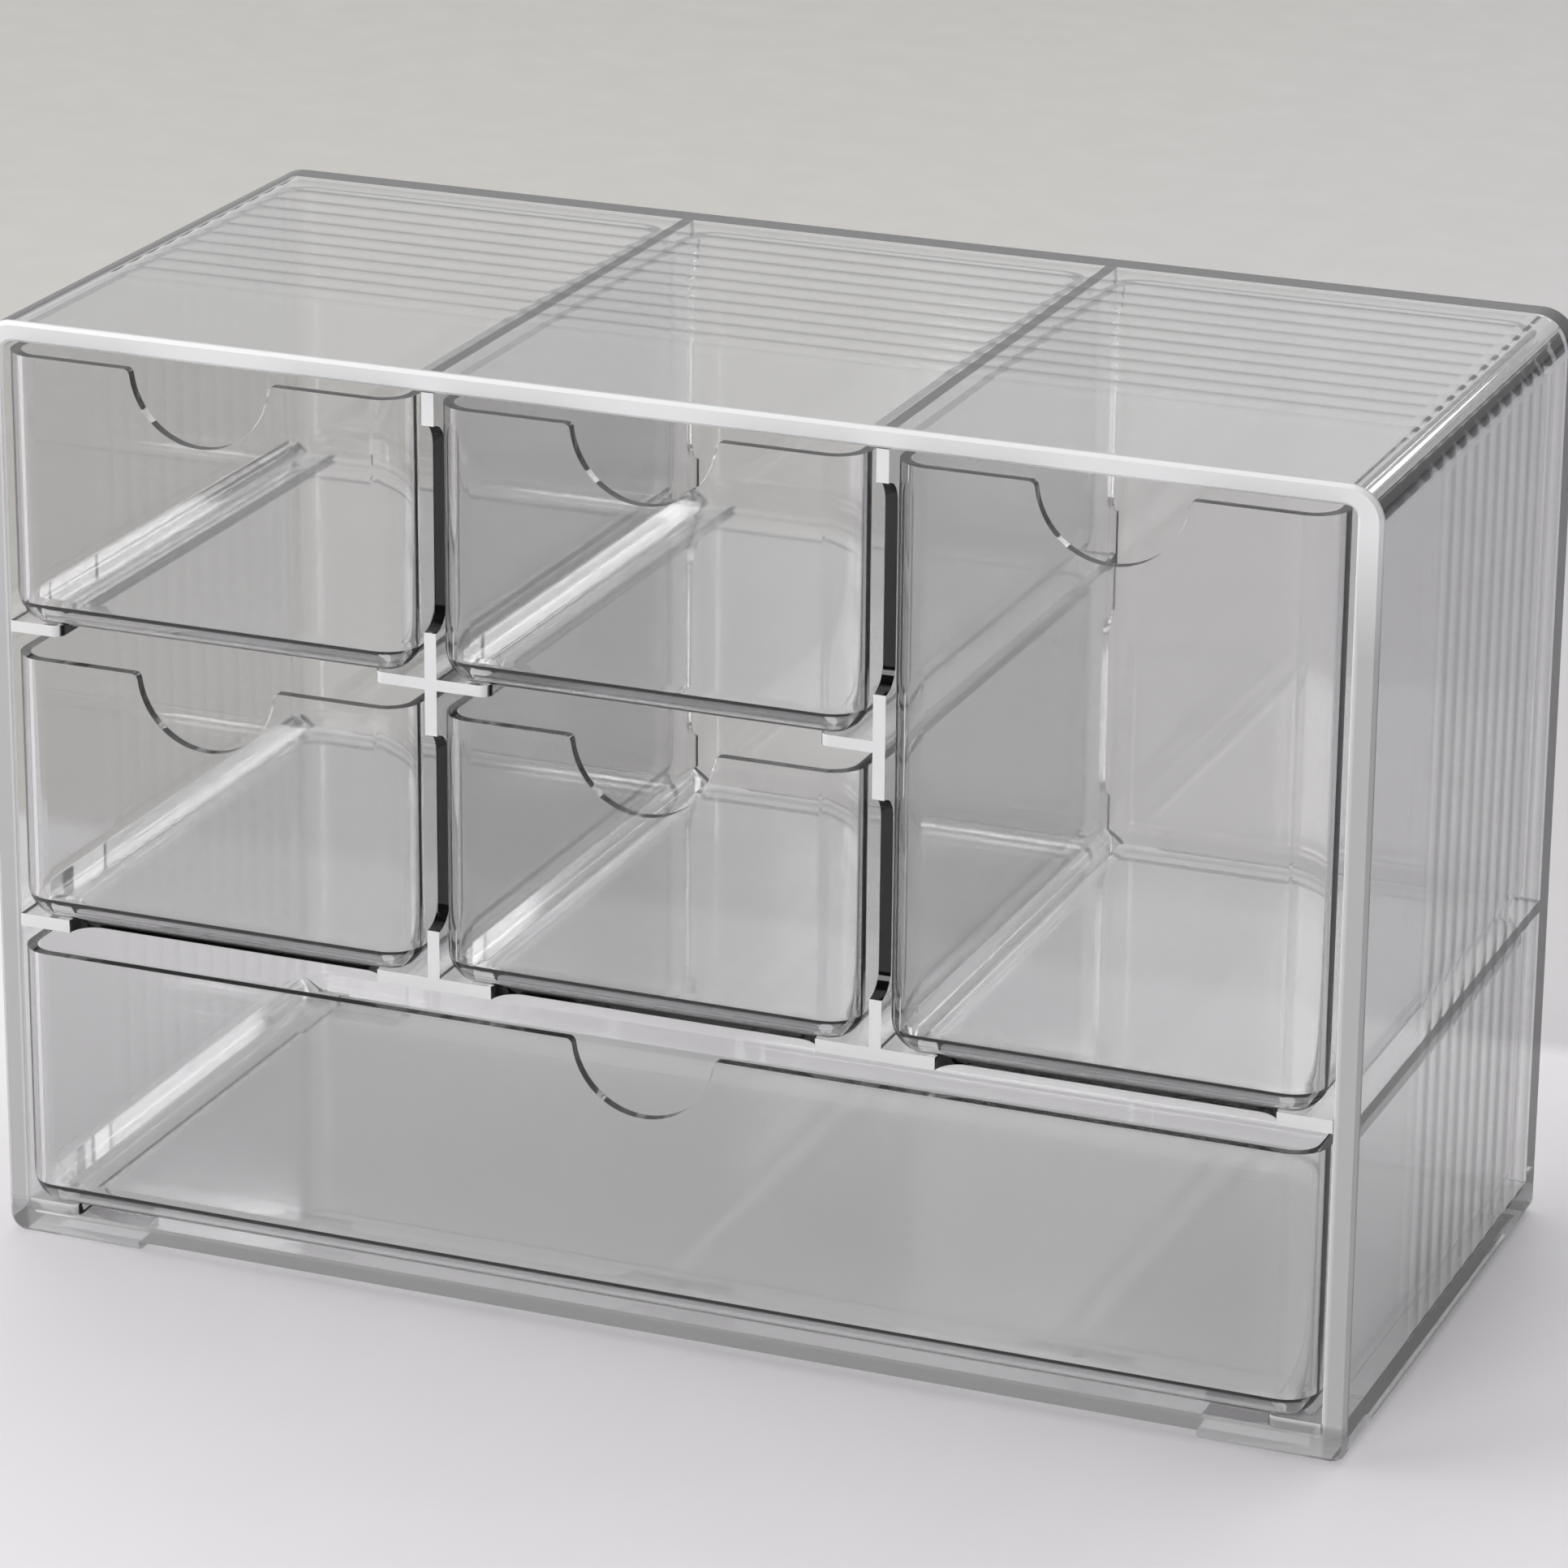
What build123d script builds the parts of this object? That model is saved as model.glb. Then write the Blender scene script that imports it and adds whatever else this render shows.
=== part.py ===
"""Clear plastic vanity box with six pull-out drawers. Sizes are in millimetres.

The origin is the middle of the overall footprint, drawers closed, on the standing plane. The open
front faces -Y, +X is to the right and +Z is up. Every separate piece is written to parts/ as a
STEP file of its own.
"""

from build123d import *
import os

# Case: overall size
case_w = 260.0
case_d = 120.0
case_h = 176.0

# Case: walls, feet and rounding
side_t = 4.6
top_t = 3.8
floor_t = 3.0
back_t = 3.6
foot_h = 1.8
foot_run_x = 27.0
foot_run_y = 17.5
foot_leg_w = 8.0
top_corner_r = 6.5
base_corner_r = 3.0
inner_corner_r = 2.0
inner_base_r = 1.0
back_edge_r = 1.6
front_chamfer = 0.8
mouth_chamfer = 0.5

# Low rails on the case floor that carry the wide drawer
rail_w = 10.0
rail_h = 2.2

# Flutes: shallow hollows in the top and both sides, counted from the back
flute_count = 11
flute_pitch = 6.9
flute_land = 0.5
flute_depth = 0.15
flute_back_margin = 12.0
flute_base_margin = 8.0
flute_end_gap = 1.0

# Partition pieces inside the case
column_count = 3
divider_t = 2.3
shelf_t = 2.4
ledge_t = 2.1
ledge_w = 10.0
ledge_tip_r = 2.0
scallop_depth = 4.5
top_stub = 6.0
cross_stub = 9.5
shelf_stub = 9.0
shelf_arm = 10.0

# Drawers
drawer_h = 50.9
drawer_wall = 1.9
drawer_floor = 2.0
drawer_corner_r = 6.5
drawer_floor_chamfer = 2.8
notch_r = 13.5
notch_depth = 13.0
notch_lip_r = 1.2

# Fits between the drawers and the case
rest_gap = 0.2
top_head_gap = 1.1
low_head_gap = 3.2
side_gap = 1.5
wide_side_gap = 0.8
back_gap = 2.0
front_proud = 4.3

# Sizes that follow from the ones above
front_y = (front_proud - case_d) / 2
back_y = front_y + case_d
bay_back_y = back_y - back_t
inner_w = case_w - 2 * side_t
inner_left = -inner_w / 2
inner_top = case_h - top_t
case_floor_z = foot_h + floor_t
rail_top = case_floor_z + rail_h
bay_w = (inner_w - (column_count - 1) * divider_t) / column_count
divider_x = (bay_w + divider_t) / 2
column_x = bay_w + divider_t

top_row_z = inner_top - top_head_gap - drawer_h
ledge_top = top_row_z - rest_gap
ledge_bottom = ledge_top - ledge_t
low_row_z = ledge_bottom - low_head_gap - drawer_h
shelf_top = low_row_z - rest_gap
shelf_bottom = shelf_top - shelf_t
wide_row_z = rail_top + rest_gap

drawer_d = case_d - back_t - back_gap + front_proud
drawer_front_y = front_y - front_proud
small_drawer_w = bay_w - 2 * side_gap
wide_drawer_w = inner_w - 2 * wide_side_gap
tall_drawer_h = inner_top - top_head_gap - low_row_z


def span(x0, x1, y0, y1, z0, z1):
    """Box between two corners."""
    middle = ((x0 + x1) / 2, (y0 + y1) / 2, (z0 + z1) / 2)
    return Pos(*middle) * Box(x1 - x0, y1 - y0, z1 - z0)


def front_block(width, z0, z1, y0, y1, top_r, bottom_r):
    """Block along Y whose front view is a rectangle with its own top and bottom corner radii."""
    centre = Vector(0, y1, (z0 + z1) / 2)
    outline = Plane(origin=centre, x_dir=(1, 0, 0), z_dir=(0, -1, 0))
    view = Rectangle(width, z1 - z0)
    by_height = view.vertices().sort_by(Axis.Y)
    view = fillet(by_height[:2], bottom_r)
    by_height = view.vertices().sort_by(Axis.Y)
    view = fillet(by_height[-2:], top_r)
    return extrude(outline * view, y1 - y0)


def flute(length):
    """Long cylinder that leaves one hollow of the stated depth and width."""
    half_width = (flute_pitch - flute_land) / 2
    radius = (half_width**2 + flute_depth**2) / (2 * flute_depth)
    return Cylinder(radius, length), radius - flute_depth


def flutes():
    """All the hollows of the top and of both sides."""
    top_length = case_w - 2 * (top_corner_r + flute_end_gap)
    side_low = flute_base_margin
    side_high = case_h - top_corner_r - flute_end_gap
    top_tool, stand_off = flute(top_length)
    side_tool, stand_off = flute(side_high - side_low)
    tools = []
    for index in range(flute_count):
        y = back_y - flute_back_margin - index * flute_pitch
        tools.append(Pos(0, y, case_h + stand_off) * Rot(0, 90, 0) * top_tool)
        for side in (-1, 1):
            x = side * (case_w / 2 + stand_off)
            tools.append(Pos(x, y, (side_low + side_high) / 2) * side_tool)
    return tools


def foot_gaps():
    """What is taken off the underside so that four L-shaped corner feet stand proud."""
    outer = case_w / 2
    wide = outer - foot_run_x
    core = outer - foot_leg_w
    return [
        span(-wide, wide, front_y, back_y, 0, foot_h),
        span(-outer, outer, front_y + foot_run_y, back_y - foot_run_y, 0, foot_h),
        span(-core, core, front_y + foot_leg_w, back_y - foot_leg_w, 0, foot_h),
    ]


def rail(side):
    """One low floor rail along a side wall, with its free front corner rounded."""
    wall = side * inner_w / 2
    low, high = sorted((wall, wall - side * rail_w))
    block = span(low, high, front_y, bay_back_y, case_floor_z, rail_top)
    free = block.edges().filter_by(Axis.Z).sort_by(lambda e: e.center().Y + side * e.center().X)
    return fillet(free[0], ledge_tip_r)


def outer_shell():
    """Case: top, sides, back and floor in one piece, open at the front."""
    shell = front_block(case_w, 0, case_h, front_y, back_y, top_corner_r, base_corner_r)
    shell = fillet(shell.faces().sort_by(Axis.Y)[-1].edges(), back_edge_r)
    shell = chamfer(shell.faces().sort_by(Axis.Y)[0].edges(), front_chamfer)
    shell -= flutes()
    shell -= front_block(
        inner_w, case_floor_z, inner_top, front_y, bay_back_y, inner_corner_r, inner_base_r
    )
    mouth = shell.faces().sort_by(Axis.Y)[0].inner_wires()[0].edges()
    shell = chamfer(mouth, mouth_chamfer)
    shell -= foot_gaps()
    for side in (-1, 1):
        shell += rail(side)
    return shell


def scallop(low, high, thickness):
    """Cutter in the XY plane for one hollow of an edge along X, with quarter-round ends."""
    reach = 2 * scallop_depth
    cutter = Box(high - low, reach, thickness)
    ends = cutter.edges().filter_by(Axis.Z).sort_by(Axis.Y)[-2:]
    return Pos((low + high) / 2, 0, 0) * fillet(ends, scallop_depth)


def plate_scallops(stations, thickness):
    """Hollows between neighbouring stations, on the front edge and mirrored on the back edge."""
    depth = bay_back_y - front_y
    cutters = []
    for low, high in stations:
        cutter = scallop(low, high, thickness)
        cutters.append(cutter)
        cutters.append(Pos(0, depth, 0) * mirror(cutter, Plane.XZ))
    return cutters


def shelf_panel():
    """Full-width shelf over the wide drawer; it meets the front only near the uprights."""
    panel = span(inner_left, -inner_left, front_y, bay_back_y, shelf_bottom, shelf_top)
    arm = shelf_arm + divider_t / 2
    stations = [
        (inner_left + shelf_arm, -divider_x - arm),
        (arm - divider_x, divider_x - arm),
        (divider_x + arm, -inner_left - shelf_arm),
    ]
    place = Pos(0, front_y, (shelf_bottom + shelf_top) / 2)
    panel -= [place * cutter for cutter in plate_scallops(stations, 2 * shelf_t)]
    return panel


def ledge(wall_x, side):
    """Runner strip of full depth standing out from a wall, its free corners rounded."""
    low, high = sorted((wall_x, wall_x + side * ledge_w))
    strip = span(low, high, front_y, bay_back_y, ledge_bottom, ledge_top)
    corners = strip.edges().filter_by(Axis.Z).sort_by(Axis.X)
    free = corners[-2:] if side > 0 else corners[:2]
    return fillet(free, ledge_tip_r)


def divider(x, ledge_sides):
    """Upright between two columns with its runner strips; front and back edges are hollowed."""
    plate = span(x - divider_t / 2, x + divider_t / 2, front_y, bay_back_y, shelf_top, inner_top)
    cross_z = (ledge_top + ledge_bottom) / 2
    stations = [
        (shelf_top + shelf_stub, cross_z - cross_stub),
        (cross_z + cross_stub, inner_top - top_stub),
    ]
    place = Pos(x, front_y, 0) * Rot(0, -90, 0)
    plate -= [place * cutter for cutter in plate_scallops(stations, 2 * divider_t)]
    for side in ledge_sides:
        plate += ledge(x + side * divider_t / 2, side)
    return plate


def upright_block(width, depth, height, corner_r):
    """Block standing on z = 0 with its four upright edges rounded."""
    block = Pos(0, 0, height / 2) * Box(width, depth, height)
    return fillet(block.edges().filter_by(Axis.Z), corner_r)


def bottom_edges(block):
    """Edges round the lowest face."""
    return block.faces().sort_by(Axis.Z)[0].edges()


def notch(height, depth):
    """Half-round finger notch through the front wall, with small rounded lips."""
    open_w = 2 * notch_r + 4 * notch_lip_r
    view = Pos(0, notch_r - notch_depth) * Circle(notch_r)
    view += Rectangle(open_w, notch_r, align=(Align.CENTER, Align.MIN))
    lips = view.vertices().group_by(Axis.Y)[0].sort_by(Axis.X)[1:3]
    view = fillet(lips, notch_lip_r)
    outline = Plane(origin=(0, -depth / 2, height), x_dir=(1, 0, 0), z_dir=(0, -1, 0))
    return extrude(outline * view, drawer_wall, both=True)


def drawer(x, z, width, height):
    """Open tub, round at every lower corner, with a finger notch in its front, put in its place."""
    tub = Pos(0, 0, height / 2) * Box(width, drawer_d, height)
    tub = fillet(tub.edges().filter_by(Axis.Z) + bottom_edges(tub), drawer_corner_r)
    hollow_r = drawer_corner_r - drawer_wall
    hollow = upright_block(width - 2 * drawer_wall, drawer_d - 2 * drawer_wall, height, hollow_r)
    hollow = chamfer(bottom_edges(hollow), drawer_floor_chamfer)
    tub -= Pos(0, 0, drawer_floor) * hollow
    tub -= notch(height, drawer_d)
    return Pos(x, drawer_front_y + drawer_d / 2, z) * tub


def pieces():
    """Every separate piece under its file name."""
    made = {
        "outer_shell": outer_shell(),
        "shelf_panel": shelf_panel(),
        "left_divider": divider(-divider_x, (-1, 1)),
        "right_divider": divider(divider_x, (-1,)),
        "left_runner": ledge(inner_left, 1),
        "tall_drawer": drawer(column_x, low_row_z, small_drawer_w, tall_drawer_h),
        "wide_drawer": drawer(0, wide_row_z, wide_drawer_w, drawer_h),
    }
    for column, x in (("left", -column_x), ("middle", 0)):
        for row, z in (("top", top_row_z), ("lower", low_row_z)):
            made[f"{row}_{column}_drawer"] = drawer(x, z, small_drawer_w, drawer_h)
    return made


os.makedirs("parts", exist_ok=True)
for name, solid in pieces().items():
    export_step(solid, f"parts/{name}.step")
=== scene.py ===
"""Looks of the clear vanity box with six drawers: clear plastic, pale table, soft studio light.

Lengths are in metres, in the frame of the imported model: the open front faces -Y and +Z is up.
"""

import math

import bpy
from mathutils import Matrix, Vector

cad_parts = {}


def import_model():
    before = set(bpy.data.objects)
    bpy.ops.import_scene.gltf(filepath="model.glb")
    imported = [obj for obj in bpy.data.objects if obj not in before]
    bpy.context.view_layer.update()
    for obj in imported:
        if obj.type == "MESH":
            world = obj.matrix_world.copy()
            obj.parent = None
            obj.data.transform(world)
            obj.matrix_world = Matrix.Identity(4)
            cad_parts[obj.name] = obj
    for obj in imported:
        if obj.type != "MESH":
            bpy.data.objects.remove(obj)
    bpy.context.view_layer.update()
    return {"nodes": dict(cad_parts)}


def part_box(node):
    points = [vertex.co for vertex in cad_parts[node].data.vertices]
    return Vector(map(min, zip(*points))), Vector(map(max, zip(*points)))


# Camera: place, aim and roll that match the photograph
CAMERA_AT = Vector((0.4087, -1.0167, 0.4798))
CAMERA_AIM = Vector((0.0006, 0.0026, 0.0866))
CAMERA_ROLL = math.radians(-0.49)
CAMERA_LENS = 146.2
SENSOR_WIDTH = 36.0

# Nodes made of the case's plastic; the others are drawers
CASE_NODES = ("outer_shell", "shelf_panel", "left_divider", "right_divider", "left_runner")

# Clear plastic
PLASTIC_IOR = 1.5
CASE_TINT = (0.985, 0.985, 0.985)
DRAWER_TINT = (0.98, 0.98, 0.98)
CASE_CLEAR = 1.0
DRAWER_CLEAR = 0.99
SMOOTH, DULL = 0.01, 0.045
WAVE_SCALE = 22.0
WAVE_DEPTH = 0.00004
SHADOW_TINT = (0.945, 0.945, 0.945)

# What the plastic swallows on the way, which darkens the edges
ABSORBED_COLOUR = (0.285, 0.285, 0.29)
ABSORBED_DENSITY = 60.0

# Painted glow on the front rim of the case: its cut edges are made white, rough and nearly opaque
RIM_DEPTH = 0.0011
RIM_GLOW_COLOUR = (0.96, 0.965, 0.97)
RIM_CLEAR = 0.08
RIM_ROUGHNESS = 0.3

# How much of that painted glow is left down the sides and along the base, and how far under the
# top of the case it starts and ends to fade down the sides
RIM_SIDE = 0.6
RIM_BASE = 0.4
FADE_START, FADE_END = 0.0075, 0.03

# Y part of the normal at which a face starts to count as looking ahead, and at which it does fully
AHEAD_FROM, AHEAD_FULL = -0.5, -0.7

# How much of the flutes' slope shows, the slope up to which a face counts as fluted, and how
# sharply it stops to
FLUTE_SHOWN = 0.42
FLUTE_SLOPE = math.cos(math.radians(7.0))
FLUTE_EDGE = 0.001

# Part of the noise's range over which a surface goes from its smoothest to its dullest
NOISE_LOW, NOISE_HIGH = 0.3, 0.7

# Table and background, painted on one floor
TABLE_COLOUR = (0.80, 0.78, 0.80)
WALL_LEFT = (0.59, 0.57, 0.54)
WALL_RIGHT = (0.62, 0.605, 0.64)
WALL_Y = 0.142
WALL_BLEND = 0.004
WALL_HALF_WIDTH = 0.3
GRAIN_SCALE = 60.0
GRAIN_SMOOTH, GRAIN_DULL = 0.5, 0.65
FLOOR_SIZE = 12.0

# Glow of the surroundings: its middle, and how near to it a direction is at its edge and its core
GLOW_FROM = Vector((-0.15, 0.75, 0.6)).normalized()
GLOW_EDGE, GLOW_CORE = 0.35, 0.95
GLOW_STRENGTH = 1.3
DIM_STRENGTH = 0.12

# Soft lamps: name, place, aim, size and power in watts
LAMPS = (
    ("lamp_left", (-1.8, -0.6, 1.8), (0, 0, 0.08), (1.5, 1.5), 34),
    ("lamp_over", (0.1, 0.3, 1.3), (0, 0, 0), (1.0, 0.8), 3),
    ("lamp_front", (-0.2, -1.5, 0.8), (0, 0, 0.08), (0.9, 0.6), 9),
    ("lamp_back", (0.45, 1.28, 0.78), (0, 0, 0.08), (0.25, 0.25), 1.6),
)

# Light bounces, many of them because a ray crosses many walls
BOUNCES = 24
TRANSPARENT_BOUNCES = 64
GLOSSY_BOUNCES = 12


def new_material(name):
    material = bpy.data.materials.new(name)
    material.use_nodes = True
    material.node_tree.nodes.clear()
    return material, material.node_tree.nodes, material.node_tree.links


def mapped(nodes, links, source, low, high, to_low, to_high):
    """Number that goes from one value to the other while the source crosses a stretch."""
    ramp = nodes.new("ShaderNodeMapRange")
    ramp.inputs["From Min"].default_value = low
    ramp.inputs["From Max"].default_value = high
    ramp.inputs["To Min"].default_value = to_low
    ramp.inputs["To Max"].default_value = to_high
    links.new(source, ramp.inputs["Value"])
    return ramp.outputs["Result"]


def arithmetic(nodes, links, operation, *sources):
    made = nodes.new("ShaderNodeMath")
    made.operation = operation
    for slot, source in zip(made.inputs, sources):
        links.new(source, slot)
    return made.outputs["Value"]


def vector_math(nodes, links, operation, first, second=None):
    """Result for a socket alone, or for a socket and a second socket or constant."""
    made = nodes.new("ShaderNodeVectorMath")
    made.operation = operation
    for slot, value in zip(made.inputs, (first, second)):
        if isinstance(value, bpy.types.NodeSocket):
            links.new(value, slot)
        elif value is not None:
            slot.default_value = value
    return made.outputs["Value" if operation == "DOT_PRODUCT" else "Vector"]


def blend(nodes, links, kind, share, first, second):
    """Mix by a share; each of the two is a socket or a constant."""
    mix = nodes.new("ShaderNodeMix")
    mix.data_type = kind
    share_slot, first_slot, second_slot = [socket for socket in mix.inputs if socket.enabled]
    links.new(share, share_slot)
    for slot, value in ((first_slot, first), (second_slot, second)):
        if isinstance(value, bpy.types.NodeSocket):
            links.new(value, slot)
        else:
            slot.default_value = (*value, 1) if kind == "RGBA" else value
    return [socket for socket in mix.outputs if socket.enabled][0]


def split(nodes, links, source):
    made = nodes.new("ShaderNodeSeparateXYZ")
    links.new(source, made.inputs["Vector"])
    return made.outputs


def noise(nodes, links, place, scale):
    made = nodes.new("ShaderNodeTexNoise")
    made.inputs["Scale"].default_value = scale
    links.new(place.outputs["Object"], made.inputs["Vector"])
    return made.outputs["Fac"]


def softened_flutes(nodes, links):
    """Normal that keeps only a share of the slope of faces that are nearly square to an axis."""
    real = nodes.new("ShaderNodeNewGeometry").outputs["Normal"]
    raised = vector_math(nodes, links, "ADD", real, (0.5, 0.5, 0.5))
    square = vector_math(nodes, links, "NORMALIZE", vector_math(nodes, links, "FLOOR", raised))
    alike = vector_math(nodes, links, "DOT_PRODUCT", real, square)
    start = FLUTE_SLOPE - FLUTE_EDGE
    flat = mapped(nodes, links, alike, start, FLUTE_SLOPE, 0, 1 - FLUTE_SHOWN)
    blended = blend(nodes, links, "VECTOR", flat, real, square)
    return vector_math(nodes, links, "NORMALIZE", blended)


def rim_glow_share(nodes, links, place):
    """Share of the painted glow on the plastic: only faces that look ahead, close to the front of
    the case.
    """
    low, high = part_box("outer_shell")
    wall_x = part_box("shelf_panel")[1][0]
    base_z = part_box("wide_drawer")[0][2]
    fade_top = high[2] - FADE_START
    fade_bottom = high[2] - FADE_END
    at = split(nodes, links, place.outputs["Object"])
    facing = split(nodes, links, place.outputs["Normal"])
    near = mapped(nodes, links, at["Y"], low[1] + RIM_DEPTH, low[1] + RIM_DEPTH / 2, 0, 1)
    ahead = mapped(nodes, links, facing["Y"], AHEAD_FROM, AHEAD_FULL, 0, 1)
    outward = arithmetic(nodes, links, "ABSOLUTE", at["X"])
    beside = mapped(nodes, links, outward, wall_x, wall_x + RIM_DEPTH, 1, RIM_SIDE)
    upper = mapped(nodes, links, at["Z"], fade_bottom, fade_top, RIM_SIDE, 1)
    uprights = arithmetic(nodes, links, "MAXIMUM", beside, upper)
    above = mapped(nodes, links, at["Z"], base_z - RIM_DEPTH, base_z, RIM_BASE, 1)
    band = arithmetic(nodes, links, "MULTIPLY", uprights, above)
    face = arithmetic(nodes, links, "MULTIPLY", near, ahead)
    return arithmetic(nodes, links, "MULTIPLY", band, face)


def lamp_light_passes(nodes, links, shader):
    """The shader, through which rays from lamps pass straight, so that the shadow stays light."""
    passing = nodes.new("ShaderNodeBsdfTransparent")
    passing.inputs["Color"].default_value = (*SHADOW_TINT, 1)
    path = nodes.new("ShaderNodeLightPath")
    mix = nodes.new("ShaderNodeMixShader")
    links.new(path.outputs["Is Shadow Ray"], mix.inputs["Fac"])
    links.new(shader, mix.inputs[1])
    links.new(passing.outputs["BSDF"], mix.inputs[2])
    return mix.outputs["Shader"]


def swallowed_light(nodes):
    swallow = nodes.new("ShaderNodeVolumeAbsorption")
    swallow.inputs["Color"].default_value = (*ABSORBED_COLOUR, 1)
    swallow.inputs["Density"].default_value = ABSORBED_DENSITY
    return swallow.outputs["Volume"]


def clear_plastic(name, tint, clear, painted_rim_glow):
    """Clear moulded plastic, faintly wavy; the case's has softened flutes and a painted glow on
    its cut edges.
    """
    material, nodes, links = new_material(name)
    place = nodes.new("ShaderNodeTexCoord")
    body = nodes.new("ShaderNodeBsdfPrincipled")
    body.inputs["Base Color"].default_value = (*tint, 1)
    body.inputs["IOR"].default_value = PLASTIC_IOR
    body.inputs["Transmission Weight"].default_value = clear
    waves = noise(nodes, links, place, WAVE_SCALE)
    roughness = mapped(nodes, links, waves, NOISE_LOW, NOISE_HIGH, SMOOTH, DULL)
    bump = nodes.new("ShaderNodeBump")
    bump.inputs["Distance"].default_value = WAVE_DEPTH
    links.new(waves, bump.inputs["Height"])
    links.new(bump.outputs["Normal"], body.inputs["Normal"])
    if painted_rim_glow:
        links.new(softened_flutes(nodes, links), bump.inputs["Normal"])
        # Painted highlight: the front cut edges turn white, rougher and nearly opaque, less so
        # down the sides and base
        rim = rim_glow_share(nodes, links, place)
        colour = blend(nodes, links, "RGBA", rim, tint, RIM_GLOW_COLOUR)
        clearness = blend(nodes, links, "FLOAT", rim, clear, RIM_CLEAR)
        roughness = blend(nodes, links, "FLOAT", rim, roughness, RIM_ROUGHNESS)
        links.new(colour, body.inputs["Base Color"])
        links.new(clearness, body.inputs["Transmission Weight"])
    links.new(roughness, body.inputs["Roughness"])
    output = nodes.new("ShaderNodeOutputMaterial")
    surface = lamp_light_passes(nodes, links, body.outputs["BSDF"])
    links.new(surface, output.inputs["Surface"])
    links.new(swallowed_light(nodes), output.inputs["Volume"])
    return material


def floor_material():
    """Pale table that turns into the colour of the wall some way behind the box."""
    material, nodes, links = new_material("table")
    place = nodes.new("ShaderNodeTexCoord")
    at = split(nodes, links, place.outputs["Object"])
    across = mapped(nodes, links, at["X"], -WALL_HALF_WIDTH, WALL_HALF_WIDTH, 0, 1)
    behind = mapped(nodes, links, at["Y"], WALL_Y - WALL_BLEND, WALL_Y + WALL_BLEND, 0, 1)
    wall = blend(nodes, links, "RGBA", across, WALL_LEFT, WALL_RIGHT)
    colour = blend(nodes, links, "RGBA", behind, TABLE_COLOUR, wall)
    grain = noise(nodes, links, place, GRAIN_SCALE)
    roughness = mapped(nodes, links, grain, NOISE_LOW, NOISE_HIGH, GRAIN_SMOOTH, GRAIN_DULL)
    surface = nodes.new("ShaderNodeBsdfPrincipled")
    links.new(colour, surface.inputs["Base Color"])
    links.new(roughness, surface.inputs["Roughness"])
    output = nodes.new("ShaderNodeOutputMaterial")
    links.new(surface.outputs["BSDF"], output.inputs["Surface"])
    return material


def dress(frame):
    # The case's plastic carries the painted white glow on its front cut edges
    case = clear_plastic("case_plastic", CASE_TINT, CASE_CLEAR, painted_rim_glow=True)
    drawers = clear_plastic("drawer_plastic", DRAWER_TINT, DRAWER_CLEAR, painted_rim_glow=False)
    for name, node in frame["nodes"].items():
        in_case = name in CASE_NODES
        node.data.materials.clear()
        node.data.materials.append(case if in_case else drawers)


def floor():
    bpy.ops.mesh.primitive_plane_add(size=FLOOR_SIZE, location=(0, 0, 0))
    plane = bpy.context.object
    plane.name = "table_top"
    plane.data.materials.append(floor_material())


def world():
    """Dim surroundings with a broad glow from behind and above, a little to the left."""
    made = bpy.data.worlds.new("studio")
    made.use_nodes = True
    nodes, links = made.node_tree.nodes, made.node_tree.links
    nodes.clear()
    direction = nodes.new("ShaderNodeTexCoord").outputs["Generated"]
    toward = vector_math(nodes, links, "DOT_PRODUCT", direction, GLOW_FROM)
    glow = mapped(nodes, links, toward, GLOW_EDGE, GLOW_CORE, DIM_STRENGTH, GLOW_STRENGTH)
    light = nodes.new("ShaderNodeBackground")
    links.new(glow, light.inputs["Strength"])
    output = nodes.new("ShaderNodeOutputWorld")
    links.new(light.outputs["Background"], output.inputs["Surface"])
    bpy.context.scene.world = made


def soft_lamp(name, place, aim, size, power):
    lamp = bpy.data.lights.new(name, "AREA")
    lamp.shape = "RECTANGLE"
    lamp.size, lamp.size_y = size
    lamp.energy = power
    holder = bpy.data.objects.new(name, lamp)
    holder.location = place
    holder.rotation_mode = "QUATERNION"
    holder.rotation_quaternion = (Vector(aim) - Vector(place)).to_track_quat("-Z", "Y")
    bpy.context.scene.collection.objects.link(holder)


def camera():
    """Camera whose picture is level but for the roll."""
    ahead = (CAMERA_AIM - CAMERA_AT).normalized()
    right = ahead.cross(Vector((0, 0, 1))).normalized()
    down = ahead.cross(right)
    tilted_right = math.cos(CAMERA_ROLL) * right + math.sin(CAMERA_ROLL) * down
    up = tilted_right.cross(ahead)
    data = bpy.data.cameras.new("camera")
    data.lens = CAMERA_LENS
    data.sensor_width = SENSOR_WIDTH
    made = bpy.data.objects.new("camera", data)
    turn = Matrix((tilted_right, up, -ahead)).transposed()
    made.matrix_world = Matrix.Translation(CAMERA_AT) @ turn.to_4x4()
    bpy.context.scene.collection.objects.link(made)
    bpy.context.scene.camera = made


def settings():
    scene = bpy.context.scene
    scene.view_settings.view_transform = "Standard"
    scene.cycles.max_bounces = BOUNCES
    scene.cycles.transmission_bounces = BOUNCES
    scene.cycles.transparent_max_bounces = TRANSPARENT_BOUNCES
    scene.cycles.glossy_bounces = GLOSSY_BOUNCES


def main():
    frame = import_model()
    dress(frame)
    floor()
    world()
    for lamp in LAMPS:
        soft_lamp(*lamp)
    camera()
    settings()


main()
